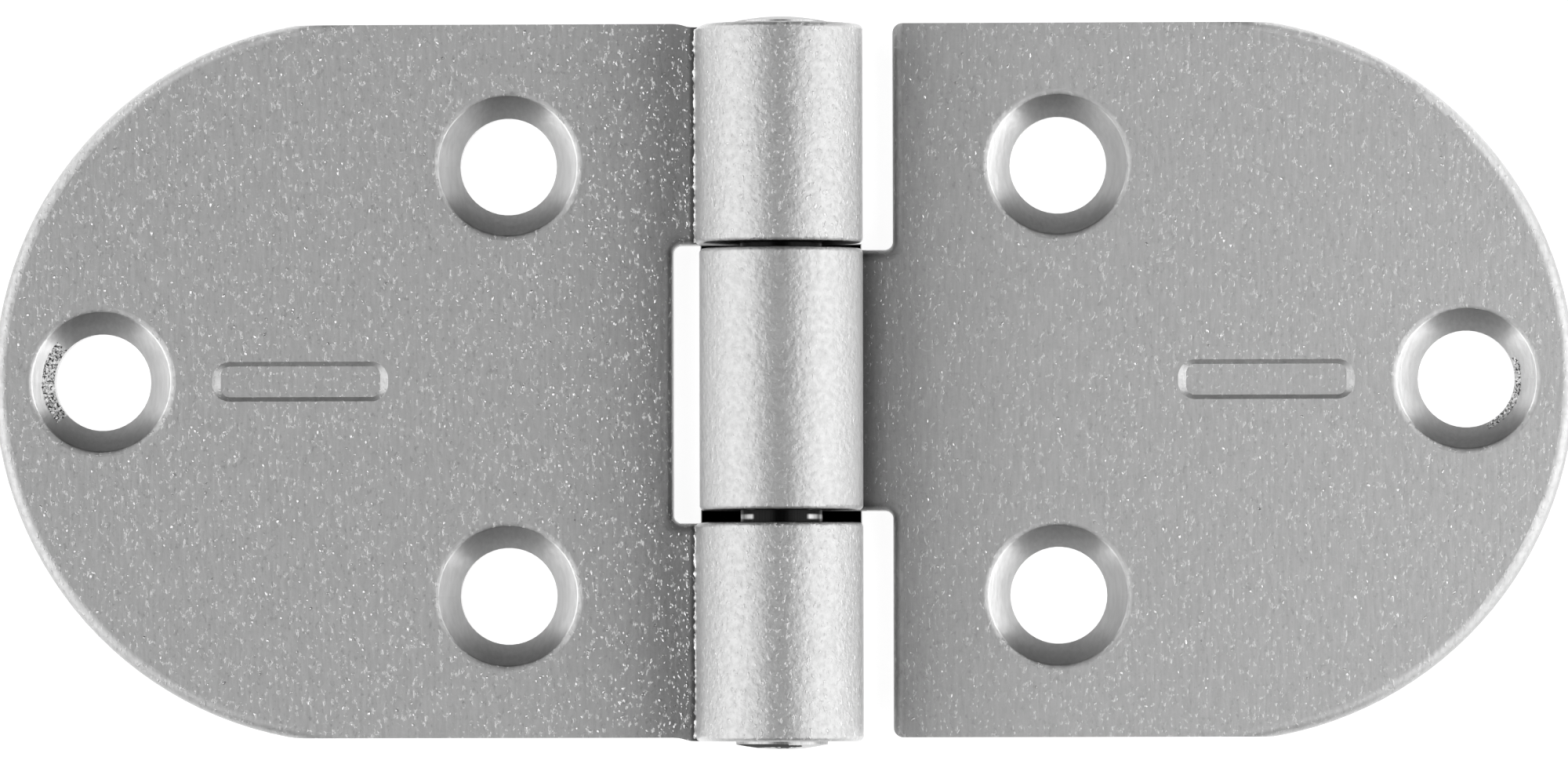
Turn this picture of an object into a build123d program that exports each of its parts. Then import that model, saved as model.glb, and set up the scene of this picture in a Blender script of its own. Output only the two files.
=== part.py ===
from build123d import *

import os
from math import cos, radians, sin, tan

# Leaf hinge: two rounded sheet-steel leaves, each rolled round one riveted pin.
# Millimetres, +Z up. The hinge lies open on its back: the origin is on the mounting plane,
# under the middle of the pin. The pin runs along Y, and the one-knuckle leaf lies towards +X.

# Sheet and pin
SHEET = 2.0  # thickness of both leaves
PIN_DIAMETER = 4.0
RUNNING_CLEARANCE = 0.05  # radial, between the pin and the middle knuckle

# Leaves
LEAF_HEIGHT = 35.0  # along the pin
LEAF_REACH = 38.8  # from the pin's axis to the tip of the curved end
CROWN = 14.8  # how far the curved end stands out beyond the straight edges
CROWN_BLEND = 4.0  # rounding where the curved end meets a straight edge
NOTCH_CLEARANCE = 1.4  # from a knuckle to the notch wall of the other leaf
NOTCH_CORNER = 0.4  # inside corners of the notches
ROOT_CORNER = 0.5  # outside corners beside the notches
DIE_ROLL = 0.6  # rounding that the punch leaves along the curved end and the notches
EDGE_BREAK = 0.25  # rounding of the back edges and of the knuckle ends

# Knuckles
MIDDLE_KNUCKLE = 12.8  # length along the pin
AXIAL_GAP = 0.42  # between neighbouring knuckles, before the offset below
STRIP_OFFSET = 0.17  # how far the two outer knuckles sit towards -Y of their own leaf
STRIP_BLEND = 1.1  # length over which the leaf's edge runs into an outer knuckle's
OUTER_SPLAY = 8.0  # degrees that the free end of an outer knuckle leans away from the pin
MIDDLE_SPLAY = -12.0  # the middle knuckle is rolled further, so its free end leans in
SEAM = 0.12  # gap between the free end and the leaf under it

# Riveted pin ends
HEAD_UPSET = 0.25  # how far a head is spread beyond the pin's side
HEAD_RIM = 0.15
HEAD_HEIGHT = 0.4

# Countersunk screw holes, three in each leaf
HOLE_DIAMETER = 4.75
COUNTERSINK_DIAMETER = 7.05
COUNTERSINK_ANGLE = 90.0
RIM_ROUND = 0.4  # rounding of the countersink's outer rim
PAIR_REACH = 13.5  # from the pin's axis to the pair of holes
PAIR_SPACING = 21.1
END_HOLE_INSET = 5.3  # from the leaf's tip to the single hole

# Bar-shaped mark coined into the front of each leaf
MARK_LENGTH = 8.65  # at the leaf's face, as the next two
MARK_WIDTH = 1.95
MARK_CORNER = 0.85
MARK_DEPTH = 0.25
MARK_END_WALL = 0.4  # how far an end wall slopes in on its way down
MARK_SIDE_WALL = 0.22  # how far a side wall does
MARK_FLOOR_CORNER = 0.45
MARK_INSET = 15.1  # from the leaf's tip to the middle of the mark

# Derived sizes
PIN_RADIUS = PIN_DIAMETER / 2
RUNNING_BORE = PIN_RADIUS + RUNNING_CLEARANCE
KNUCKLE_RADIUS = PIN_RADIUS + SHEET
AXIS_Z = KNUCKLE_RADIUS
HALF_HEIGHT = LEAF_HEIGHT / 2
HALF_MIDDLE = MIDDLE_KNUCKLE / 2
NOTCH_X = KNUCKLE_RADIUS + NOTCH_CLEARANCE
CROWN_X = LEAF_REACH - CROWN
SHEAR_MARGIN = DIE_ROLL + STRIP_OFFSET  # what is sheared off each straight side of the punched blank
BLANK_HALF = HALF_HEIGHT + SHEAR_MARGIN
END_HOLE_X = LEAF_REACH - END_HOLE_INSET
MARK_X = LEAF_REACH - MARK_INSET
OUTER_SPANS = (
    (-HALF_HEIGHT - STRIP_OFFSET, -HALF_MIDDLE - AXIAL_GAP - STRIP_OFFSET),
    (HALF_MIDDLE + AXIAL_GAP - STRIP_OFFSET, HALF_HEIGHT - STRIP_OFFSET),
)
MIDDLE_SPAN = (-HALF_MIDDLE, HALF_MIDDLE)
CROWN_CORNERS = [(CROWN_X, HALF_HEIGHT), (CROWN_X, -HALF_HEIGHT)]
TOUCH = 1e-4  # how near two places count as the same one
OVERSHOOT = 1.0  # how far a cutting tool runs past the face that it cuts


# Every leaf is drawn towards +X from the pin's axis


def at(x, y):
    """Give a test for the vertices that stand at one place of the outline."""
    return lambda v: abs(v.X - x) < TOUCH and abs(v.Y - y) < TOUCH


def rounded(face, places, radius):
    """Round the outline's corners at the given places."""
    corners = [v for place in places for v in face.vertices().filter_by(at(*place))]
    return fillet(corners, radius)


def crown_arc():
    """Draw a leaf's curved end, from +Y round to -Y."""
    return ThreePointArc((CROWN_X, HALF_HEIGHT), (LEAF_REACH, 0), (CROWN_X, -HALF_HEIGHT))


def sheared_end():
    """Draw a finished leaf's curved end with its straight edges."""
    arc = crown_arc()
    return [Line((NOTCH_X, HALF_HEIGHT), arc @ 0), arc, Line(arc @ 1, (NOTCH_X, -HALF_HEIGHT))]


def blank_end():
    """Draw the wider blank's curved end with its sides.

    The sides leave the curved end along its tangents, so that the punch's rounding fades out
    where the shear cuts them off.
    """
    arc = crown_arc()
    tangent = arc % 0
    high = arc @ 0 - tangent * (SHEAR_MARGIN / abs(tangent.Y))
    low = (high.X, -high.Y)
    return [
        Line((NOTCH_X, BLANK_HALF), high),
        Line(high, arc @ 0),
        arc,
        Line(arc @ 1, low),
        Line(low, (NOTCH_X, -BLANK_HALF)),
    ]


def strip_edge(edge_y, strip_y):
    """Draw the gentle step from a leaf's straight edge to the side of an outer knuckle's strip."""
    start = (NOTCH_X, edge_y)
    end = (NOTCH_X - STRIP_BLEND, strip_y)
    middle_x = NOTCH_X - STRIP_BLEND / 2
    return [Bezier(start, (middle_x, edge_y), (middle_x, strip_y), end), Line(end, (0, strip_y))]


def two_knuckle_root(low, high):
    """Draw the root of the leaf with two strips, from its side at -Y to its side at +Y."""
    low_inner = OUTER_SPANS[0][1]
    high_inner = OUTER_SPANS[1][0]
    return [
        Line((0, low), (0, low_inner)),
        Line((0, low_inner), (NOTCH_X, low_inner)),
        Line((NOTCH_X, low_inner), (NOTCH_X, high_inner)),
        Line((NOTCH_X, high_inner), (0, high_inner)),
        Line((0, high_inner), (0, high)),
    ]


def two_knuckle_outlines():
    """Flat outlines of the blank and the finished leaf that have a strip at each end of the pin."""
    low, low_inner = OUTER_SPANS[0]
    high_inner, high = OUTER_SPANS[1]
    inner_corners = [(NOTCH_X, low_inner), (NOTCH_X, high_inner)]
    blank_sides = [Line((NOTCH_X, y), (0, y)) for y in (-BLANK_HALF, BLANK_HALF)]
    blank = make_face(blank_end() + blank_sides + two_knuckle_root(-BLANK_HALF, BLANK_HALF))
    sides = strip_edge(-HALF_HEIGHT, low) + strip_edge(HALF_HEIGHT, high)
    finished = make_face(sheared_end() + sides + two_knuckle_root(low, high))
    finished = rounded(finished, CROWN_CORNERS, CROWN_BLEND)
    return [rounded(face, inner_corners, NOTCH_CORNER) for face in (blank, finished)]


def one_knuckle_root(half_height):
    """Draw the root of the leaf with one strip, from its side at -Y to its side at +Y."""
    low, high = MIDDLE_SPAN
    return [
        Line((NOTCH_X, -half_height), (NOTCH_X, low)),
        Line((NOTCH_X, low), (0, low)),
        Line((0, low), (0, high)),
        Line((0, high), (NOTCH_X, high)),
        Line((NOTCH_X, high), (NOTCH_X, half_height)),
    ]


def one_knuckle_outlines():
    """Flat outlines of the blank and the finished leaf that have one strip, in the middle."""
    inner_corners = [(NOTCH_X, y) for y in MIDDLE_SPAN]
    outer_corners = [(NOTCH_X, -HALF_HEIGHT), (NOTCH_X, HALF_HEIGHT)]
    blank = make_face(blank_end() + one_knuckle_root(BLANK_HALF))
    finished = make_face(sheared_end() + one_knuckle_root(HALF_HEIGHT))
    finished = rounded(finished, CROWN_CORNERS, CROWN_BLEND)
    finished = rounded(finished, outer_corners, ROOT_CORNER)
    return [rounded(face, inner_corners, NOTCH_CORNER) for face in (blank, finished)]


def knuckle(span, bore_radius, splay):
    """Roll the sheet from under the pin, round its far side and over it, down to the leaf again.

    The last stretch of the sheet is straight: it leans out by the splay and stops a seam's
    width above the leaf.
    """
    lean = radians(splay)
    stop_z = SHEET + SEAM

    def on_roll(radius, angle):
        return (radius * cos(angle), AXIS_Z + radius * sin(angle))

    def free_end(radius):
        x, z = on_roll(radius, lean)
        return (x + (z - stop_z) * tan(lean), stop_z)

    far_side = radians(180)
    edges = [
        ThreePointArc((0, 0), on_roll(KNUCKLE_RADIUS, far_side), on_roll(KNUCKLE_RADIUS, lean)),
        Line(on_roll(KNUCKLE_RADIUS, lean), free_end(KNUCKLE_RADIUS)),
        Line(free_end(KNUCKLE_RADIUS), free_end(bore_radius)),
        Line(free_end(bore_radius), on_roll(bore_radius, lean)),
        ThreePointArc(
            on_roll(bore_radius, lean),
            on_roll(bore_radius, far_side),
            (0, AXIS_Z - bore_radius),
        ),
        Line((0, AXIS_Z - bore_radius), (0, 0)),
    ]
    start, end = span
    section = Plane((0, end, 0), x_dir=(1, 0, 0), z_dir=(0, -1, 0)) * make_face(edges)
    return extrude(section, amount=end - start)


def countersunk_hole(x, y):
    """Tool that cuts one screw hole, with a small round where the countersink meets the face."""
    half_angle = radians(COUNTERSINK_ANGLE / 2)
    hole_radius = HOLE_DIAMETER / 2
    rim_radius = COUNTERSINK_DIAMETER / 2
    cone_z = SHEET - (rim_radius - hole_radius) / tan(half_angle)
    tangent_length = RIM_ROUND * tan((radians(90) - half_angle) / 2)
    on_cone = (rim_radius - tangent_length * sin(half_angle), SHEET - tangent_length * cos(half_angle))
    on_face = (rim_radius + tangent_length, SHEET)
    top = SHEET + OVERSHOOT
    outline = [
        Polyline((0, top), (0, -OVERSHOOT), (hole_radius, -OVERSHOOT), (hole_radius, cone_z), on_cone),
        TangentArc(on_cone, on_face, tangent=(sin(half_angle), cos(half_angle))),
        Polyline(on_face, (on_face[0], top), (0, top)),
    ]
    tool = revolve(Plane.XZ * make_face(outline), Axis.Z)
    return Pos(x, y, 0) * tool


def coined_mark():
    """Tool that presses the bar-shaped mark into a leaf's front, with gentler slopes at its ends."""
    floor_length = MARK_LENGTH - 2 * MARK_END_WALL
    floor_width = MARK_WIDTH - 2 * MARK_SIDE_WALL
    rim = Pos(MARK_X, 0, SHEET) * RectangleRounded(MARK_LENGTH, MARK_WIDTH, MARK_CORNER)
    floor = RectangleRounded(floor_length, floor_width, MARK_FLOOR_CORNER)
    return loft([Pos(MARK_X, 0, SHEET - MARK_DEPTH) * floor, rim], ruled=True)


def leaf(outlines, spans, bore_radius, splay):
    """One leaf with its knuckles, holes and mark, as one piece of rolled sheet.

    The outlines are those of the punched blank and of the leaf after its sides are sheared.
    """
    blank, finished = [extrude(outline, amount=SHEET) for outline in outlines]
    front_edges = blank.edges().filter_by_position(Axis.Z, SHEET, SHEET)
    front_edges = front_edges.filter_by(lambda e: e.center().X > TOUCH)
    body = fillet(front_edges, DIE_ROLL) & finished
    for span in spans:
        body += knuckle(span, bore_radius, splay)
    back_edges = body.edges().filter_by_position(Axis.Z, 0, 0)
    back_edges = back_edges.filter_by(lambda e: e.center().X > TOUCH)
    body = fillet(back_edges, EDGE_BREAK)
    if bore_radius > PIN_RADIUS:
        # A bore wider than the pin also skims the sheet that lies under the pin
        for start, end in spans:
            middle = Pos(0, (start + end) / 2, AXIS_Z)
            body -= middle * Rot(90, 0, 0) * Cylinder(bore_radius, end - start)
    body -= countersunk_hole(PAIR_REACH, PAIR_SPACING / 2)
    body -= countersunk_hole(PAIR_REACH, -PAIR_SPACING / 2)
    body -= countersunk_hole(END_HOLE_X, 0)
    body -= coined_mark()
    return body


def pin():
    """Pin through all the knuckles, with a low dome riveted over each end."""
    start = OUTER_SPANS[0][0]
    end = OUTER_SPANS[1][1]
    head_radius = PIN_RADIUS + HEAD_UPSET
    low_pole = (0, start - HEAD_HEIGHT)
    high_pole = (0, end + HEAD_HEIGHT)
    low_rim = (head_radius, start - HEAD_RIM)
    high_rim = (head_radius, end + HEAD_RIM)
    outline = [
        TangentArc(low_pole, low_rim, tangent=(1, 0)),
        Polyline(
            low_rim,
            (head_radius, start),
            (PIN_RADIUS, start),
            (PIN_RADIUS, end),
            (head_radius, end),
            high_rim,
        ),
        TangentArc(high_pole, high_rim, tangent=(1, 0)),
        Line(high_pole, low_pole),
    ]
    return Pos(0, 0, AXIS_Z) * revolve(make_face(outline), Axis.Y)


two_knuckle_leaf = leaf(two_knuckle_outlines(), OUTER_SPANS, PIN_RADIUS, OUTER_SPLAY)
parts = {
    "two_knuckle_leaf": mirror(two_knuckle_leaf, Plane.YZ),
    "one_knuckle_leaf": leaf(one_knuckle_outlines(), [MIDDLE_SPAN], RUNNING_BORE, MIDDLE_SPLAY),
    "hinge_pin": pin(),
}

os.makedirs("parts", exist_ok=True)
for name, part in parts.items():
    export_step(part, f"parts/{name}.step")
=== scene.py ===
"""Looks of an open leaf hinge that lies on its back in a bright light tent."""
import logging
import math
import random
from collections.abc import Callable
from dataclasses import dataclass
from enum import Enum

import bpy
from mathutils import Euler, Matrix, Vector


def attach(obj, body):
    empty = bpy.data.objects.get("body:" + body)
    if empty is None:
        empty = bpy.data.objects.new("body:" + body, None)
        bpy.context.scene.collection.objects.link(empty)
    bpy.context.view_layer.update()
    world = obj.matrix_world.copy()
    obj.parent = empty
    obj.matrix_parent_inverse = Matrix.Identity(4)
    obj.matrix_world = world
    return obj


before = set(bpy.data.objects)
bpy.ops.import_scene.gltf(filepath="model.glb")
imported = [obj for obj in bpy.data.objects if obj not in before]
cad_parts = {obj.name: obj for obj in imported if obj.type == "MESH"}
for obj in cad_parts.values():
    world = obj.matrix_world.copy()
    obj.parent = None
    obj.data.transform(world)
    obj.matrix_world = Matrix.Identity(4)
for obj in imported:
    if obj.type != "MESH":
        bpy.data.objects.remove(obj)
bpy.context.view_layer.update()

MM = 0.001
NOISE_DETAIL = 2.0
NOISE_LOW = 0.3
NOISE_HIGH = 0.7
SMOOTH_ANGLE = math.radians(50)
HIGH_GAP = 6.525 * MM
LOW_GAP = -6.695 * MM
CROWN_CENTRE = 21.05 * MM
PAIR_HOLE = (13.5 * MM, 10.55 * MM)
END_HOLE = (33.5 * MM, 0.0)
WITHOUT_HEIGHT = (1.0, 1.0, 0.0)
# Nibs get a lighter tone than the leaf's lacquer: painted highlight on them.
NIB_HIGHLIGHT_TONE = 0.58
BEAD_TONE = 0.5
log = logging.getLogger("leaf_hinge")


class Body(Enum):
    """The two moving halves of the hinge."""

    FIXED = "fixed_leaf"
    SWINGING = "swinging_leaf"


class Slot(Enum):
    """The record's material slot for the pieces that are modelled here."""

    LACQUER = "silver_lacquer"


class Element(Enum):
    """Kinds of mesh elements that are selected by their place."""

    EDGE = "EDGE"
    FACE = "FACE"


class NodeGraph:
    """Short calls that add shader nodes to one tree and join them."""

    def __init__(self, tree: bpy.types.NodeTree) -> None:
        """Start from an empty tree.

        Args:
            tree: The node tree of a material or of the world.
        """
        self.tree = tree
        tree.nodes.clear()

    def node(self, kind: str, inputs: dict | None = None, **settings: object) -> bpy.types.Node:
        """Add one node.

        Args:
            kind: The node's type name.
            inputs: Socket values or source sockets, by socket name or number.
            settings: Properties of the node itself.

        Returns:
            The new node.
        """
        made = self.tree.nodes.new(kind)
        for name, value in settings.items():
            setattr(made, name, value)
        for name, value in (inputs or {}).items():
            if isinstance(value, bpy.types.NodeSocket):
                self.tree.links.new(value, made.inputs[name])
            else:
                made.inputs[name].default_value = value
        return made

    def math(self, operation: str, *values: object) -> bpy.types.NodeSocket:
        """Join numbers or sockets with one arithmetic step.

        Args:
            operation: The Math node's operation.
            values: Its inputs in order.

        Returns:
            The result socket.
        """
        return self.node("ShaderNodeMath", dict(enumerate(values)), operation=operation).outputs[0]

    def vector(self, operation: str, *values: object) -> bpy.types.NodeOutputs:
        """Join vectors or sockets with one step of vector arithmetic."""
        return self.node("ShaderNodeVectorMath", dict(enumerate(values)), operation=operation).outputs

    def rest(self, share: object) -> bpy.types.NodeSocket:
        """Find what a share leaves of 1."""
        return self.math("SUBTRACT", 1.0, share)

    def away(self, value: object, centre: float) -> bpy.types.NodeSocket:
        """Find how far a value lies from a centre, on either side."""
        return self.math("ABSOLUTE", self.math("SUBTRACT", value, centre))

    def hypot(self, first: object, second: object) -> bpy.types.NodeSocket:
        """Find the distance that two steps at a right angle make up."""
        square = self.math("MULTIPLY", second, second)
        return self.math("SQRT", self.math("MULTIPLY_ADD", first, first, square))

    def ramp(self, value: object, low: float, high: float, start: float, end: float) -> bpy.types.NodeSocket:
        """Ease a value from one range into another with a smooth step.

        Args:
            value: The driving socket.
            low: The value at which the change starts.
            high: The value at which the change is complete.
            start: The result at and before low.
            end: The result at and after high.

        Returns:
            The result socket.
        """
        inputs = {0: value, 1: low, 2: high, 3: start, 4: end}
        made = self.node("ShaderNodeMapRange", inputs, interpolation_type="SMOOTHSTEP")
        return made.outputs[0]

    def noise(self, place: bpy.types.NodeSocket, width: float, length: float) -> bpy.types.NodeSocket:
        """Add a soft random pattern that is drawn out along Y.

        Args:
            place: The place on the object.
            width: The pattern's size along X and Z.
            length: Its size along Y.

        Returns:
            The pattern, mostly between NOISE_LOW and NOISE_HIGH.
        """
        scale = (1 / width, 1 / length, 1 / width)
        stretched = self.node("ShaderNodeMapping", {"Vector": place, "Scale": scale}).outputs[0]
        inputs = {"Vector": stretched, "Scale": 1.0, "Detail": NOISE_DETAIL}
        return self.node("ShaderNodeTexNoise", inputs).outputs[0]

    def bump(self, height: object) -> bpy.types.NodeSocket:
        """Turn a height in metres into a bumpy normal."""
        return self.node("ShaderNodeBump", {"Height": height, "Distance": 1.0, "Strength": 1.0}).outputs[0]

    def grey(self, value: object) -> bpy.types.NodeSocket:
        """Turn one number into a neutral colour."""
        return self.node("ShaderNodeCombineColor", {0: value, 1: value, 2: value}).outputs[0]


def new_material(name: str) -> tuple[bpy.types.Material, NodeGraph]:
    """Make an empty node material.

    Args:
        name: The material's name.

    Returns:
        The material and its node graph.
    """
    material = bpy.data.materials.new(name)
    material.use_nodes = True
    return material, NodeGraph(material.node_tree)


@dataclass(frozen=True)
class SilverLacquer:
    """Satin silver-grey metallic lacquer with orange peel, faint strokes and fine grains.

    Painted shade darkens it on the leaf's front beside the knuckle and towards the root of the two-knuckle
    leaf, and painted highlights lighten the knuckle's flanks, the curved rim and the countersinks, with
    painted shade on the countersinks' walls towards -Y. It is smoothest in the countersinks and coarsest at
    the root of the two-knuckle leaf.
    Painted shade blackens it in the corners beside the knuckles and in the gaps between them.
    """

    name: str = "silver_lacquer"
    tone: float = 0.46
    leaf_roughness: float = 0.60
    knuckle_roughness: float = 0.54
    roughness_spread: float = 0.05
    coat: float = 1.0
    coat_roughness: float = 0.3
    peel_size: float = 0.30 * MM
    peel_height: float = 0.014 * MM
    knuckle_peel: float = 2.8
    stroke_width: float = 0.20 * MM
    stroke_length: float = 1.5 * MM
    stroke_height: float = 0.012 * MM
    stroke_spread: float = 0.05
    knuckle_stroke: float = 0.3
    grain_width: float = 0.16 * MM
    grain_length: float = 0.27 * MM
    grain_height: float = 0.018 * MM
    grain_low: float = 0.57
    grain_full: float = 0.76
    grain_gain: float = 0.26
    pit_loss: float = 0.22
    pit_shift: tuple[float, float, float] = (1.0, 1.0, 1.0)
    relief_limit: float = 1.0
    knuckle_grain: float = 0.5
    outer_grain: float = 1.4
    sink_grain: float = 0.0
    swinging_grain: float = 0.75
    root_grain: float = 5.5
    root_grain_start: float = -10.5 * MM
    root_grain_full: float = -5.0 * MM
    root_edge: float = -3.9 * MM
    # Painted shade towards the root of the two-knuckle leaf.
    root_shade: float = 0.9
    knuckle_tone: float = 0.94
    # Painted highlight: the knuckle's flanks are lighter than its top.
    flank_highlight: float = 1.4
    flank_low: float = 5.2 * MM
    flank_high: float = 7.2 * MM
    # Painted shade: the lacquer's tone falls on the leaf's front towards the knuckle.
    shade_near: float = 0.80
    shade_near_start: float = 5.4 * MM
    shade_near_end: float = 8.0 * MM
    shade_far: float = 0.88
    shade_far_start: float = 6.0 * MM
    shade_far_end: float = 14.0 * MM
    # Painted shade in the corner on the leaf's front beside the middle knuckle.
    corner_shade: float = 0.08
    corner_start: float = 3.7 * MM
    corner_end: float = 5.5 * MM
    middle_half: float = 6.45 * MM
    # Painted shade on the leaf's front along the seams of the outer knuckles.
    seam_shade: float = 0.32
    seam_start: float = -4.62 * MM
    seam_full: float = -4.40 * MM
    # Painted shade on the knuckles' ends in the gaps between them.
    gaps: tuple[tuple[float, float], ...] = ((HIGH_GAP, 0.125 * MM), (LOW_GAP, 0.295 * MM))
    gap_shade: float = 0.04
    gap_blend: float = 0.07 * MM
    gap_reach: float = 4.1 * MM
    # Painted highlight on the curved rim.
    rim_highlight: float = 1.65
    rim_start: float = 17.12 * MM
    rim_end: float = 17.42 * MM
    rim_straight: float = 0.8 * MM
    rim_curved: float = 2.8 * MM
    rim_tip: float = 5.0 * MM
    rim_shoulder: float = 16.0 * MM
    rim_tip_share: float = 0.12
    front_low: float = 0.9 * MM
    front_edge: float = 1.4 * MM
    front_high: float = 2.15 * MM
    knuckle_low: float = 2.5 * MM
    # Painted highlight in the countersinks, with painted shade on their walls towards -Y.
    sink_highlight: float = 1.38
    sink_low_shade: float = 0.57
    sink_high_highlight: float = 1.18
    sink_side: float = 1.2 * MM
    sink_end: float = 3.0 * MM
    sink_pitch: float = PAIR_HOLE[1]
    sink_relief: float = 0.3
    sink_roughness: float = 0.31
    sink_radius: float = 3.5 * MM
    sink_blend: float = 0.1 * MM
    end_start: float = 0.9
    end_full: float = 0.97
    back_start: float = 0.02 * MM
    back_end: float = 0.2 * MM
    sink_places: tuple[tuple[float, ...], ...] = (PAIR_HOLE + (0.0,), END_HOLE + (0.0,))

    def material(self) -> bpy.types.Material:
        """Build the node material.

        Returns:
            The finished material.
        """
        material, graph = new_material(self.name)
        place = graph.node("ShaderNodeTexCoord").outputs["Object"]
        parts = graph.node("ShaderNodeSeparateXYZ", {0: place}).outputs
        on_leaf = graph.ramp(parts[2], self.front_high, self.knuckle_low, 1.0, 0.0)
        in_sink = self.in_sink(graph, place, parts)
        peel = graph.noise(place, self.peel_size, self.peel_size)
        strokes = graph.noise(place, self.stroke_width, self.stroke_length)
        strength = self.grain_strength(graph, parts, on_leaf, in_sink)
        grains = graph.math("MULTIPLY", self.specks(graph, place), strength)
        elsewhere = graph.vector("ADD", place, self.pit_shift)[0]
        limited = graph.math("MINIMUM", strength, self.relief_limit)
        pits = graph.math("MULTIPLY", self.specks(graph, elsewhere), limited)
        swell = graph.math("MULTIPLY", self.specks(graph, place), limited)
        height = graph.math("MULTIPLY", swell, self.grain_height)
        peel_height = graph.ramp(on_leaf, 0.0, 1.0, self.knuckle_peel * self.peel_height, self.peel_height)
        height = graph.math("MULTIPLY_ADD", peel, peel_height, height)
        drawn = graph.ramp(on_leaf, 0.0, 1.0, self.knuckle_stroke, 1.0)
        stroke_height = graph.math("MULTIPLY", drawn, self.stroke_height)
        height = graph.math("MULTIPLY_ADD", strokes, stroke_height, height)
        relief = graph.ramp(in_sink, 0.0, 1.0, 1.0, self.sink_relief)
        bump = graph.bump(graph.math("MULTIPLY", height, relief))
        speck = graph.math("MULTIPLY_ADD", grains, self.grain_gain, 1.0)
        speck = graph.math("MAXIMUM", graph.math("MULTIPLY_ADD", pits, -self.pit_loss, speck), 0.0)
        streak = graph.ramp(strokes, NOISE_LOW, NOISE_HIGH, -self.stroke_spread, self.stroke_spread)
        streak = graph.math("MULTIPLY_ADD", streak, drawn, 1.0)
        # Painted shade beside the knuckle and painted highlights on the flanks and the rim.
        tone = graph.math("MULTIPLY", graph.math("MULTIPLY", speck, streak), self.light_and_shade(graph, parts, on_leaf))
        # Painted shade in the corners beside the knuckles and in the gaps between them.
        tone = graph.math("MULTIPLY", tone, self.painted_shade(graph, parts, on_leaf))
        # Painted highlight in the countersinks, with painted shade on their walls towards -Y.
        tone = graph.math("MULTIPLY", tone, graph.math("POWER", self.sink_light_and_shade(graph, parts), in_sink))
        shader = graph.node(
            "ShaderNodeBsdfPrincipled",
            {
                "Base Color": graph.grey(graph.math("MULTIPLY", tone, self.tone)),
                "Metallic": 1.0,
                "Roughness": self.gloss(graph, peel, on_leaf, in_sink),
                "Normal": bump,
                "Coat Weight": self.coat,
                "Coat Roughness": self.coat_roughness,
                "Coat Normal": bump,
            },
        )
        graph.node("ShaderNodeOutputMaterial", {"Surface": shader.outputs[0]})
        return material

    def specks(self, graph: NodeGraph, place: bpy.types.NodeSocket) -> bpy.types.NodeSocket:
        """Scatter small specks.

        Args:
            graph: The material's node graph.
            place: The place on the object.

        Returns:
            1 in a speck, 0 between them.
        """
        pattern = graph.noise(place, self.grain_width, self.grain_length)
        return graph.ramp(pattern, self.grain_low, self.grain_full, 0.0, 1.0)

    def grain_strength(
        self,
        graph: NodeGraph,
        parts: bpy.types.NodeOutputs,
        on_leaf: bpy.types.NodeSocket,
        in_sink: bpy.types.NodeSocket,
    ) -> bpy.types.NodeSocket:
        """Find how coarse the grains are.

        Args:
            graph: The material's node graph.
            parts: The place on the object as X, Y and Z.
            on_leaf: 1 at the leaf's height and below, 0 on the knuckle.
            in_sink: 1 inside a countersink.

        Returns:
            The grains' strength, 1 on the open two-knuckle leaf.
        """
        root = graph.ramp(parts[0], self.root_grain_start, self.root_grain_full, 1.0, self.root_grain)
        before_root = graph.math("LESS_THAN", parts[0], self.root_edge)
        past_root = graph.rest(before_root)
        on_flat = graph.math("MULTIPLY", root, before_root)
        on_flat = graph.math("MULTIPLY_ADD", past_root, self.swinging_grain, on_flat)
        outside = graph.math("GREATER_THAN", graph.math("ABSOLUTE", parts[1]), self.middle_half)
        on_roll = graph.ramp(outside, 0.0, 1.0, self.knuckle_grain, self.outer_grain)
        rolled = graph.math("MULTIPLY", on_roll, graph.rest(on_leaf))
        strength = graph.math("MULTIPLY_ADD", on_flat, on_leaf, rolled)
        return graph.math("MULTIPLY", strength, graph.ramp(in_sink, 0.0, 1.0, 1.0, self.sink_grain))

    def light_and_shade(
        self, graph: NodeGraph, parts: bpy.types.NodeOutputs, on_leaf: bpy.types.NodeSocket
    ) -> bpy.types.NodeSocket:
        """Find the painted shade on the leaf's front beside the knuckle and at the root, and the painted
        highlights on the knuckle's flanks and on the curved rim.
        """
        reach = graph.math("ABSOLUTE", parts[0])
        on_front = self.on_front(graph, parts, on_leaf)
        # Painted shade on the leaf's front towards the knuckle.
        near = graph.ramp(reach, self.shade_near_start, self.shade_near_end, self.shade_near, 1.0)
        far = graph.ramp(reach, self.shade_far_start, self.shade_far_end, self.shade_far, 1.0)
        rim = self.rim(graph, reach, parts[1])
        # Painted shade towards the root of the two-knuckle leaf.
        root = graph.ramp(parts[0], self.root_grain_start, self.root_grain_full, 1.0, self.root_shade)
        root = graph.math("POWER", root, graph.math("LESS_THAN", parts[0], self.root_edge))
        front = graph.math("MULTIPLY", graph.math("MULTIPLY", near, far), graph.math("MULTIPLY", rim, root))
        # Painted highlight on the knuckle's flanks, lighter than its top.
        flank = graph.ramp(parts[2], self.flank_low, self.flank_high, self.flank_highlight, self.knuckle_tone)
        on_roll = graph.math("MULTIPLY", graph.rest(on_leaf), self.off_ends(graph, parts))
        rolled = graph.math("POWER", flank, on_roll)
        return graph.math("MULTIPLY", graph.math("POWER", front, on_front), rolled)

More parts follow.
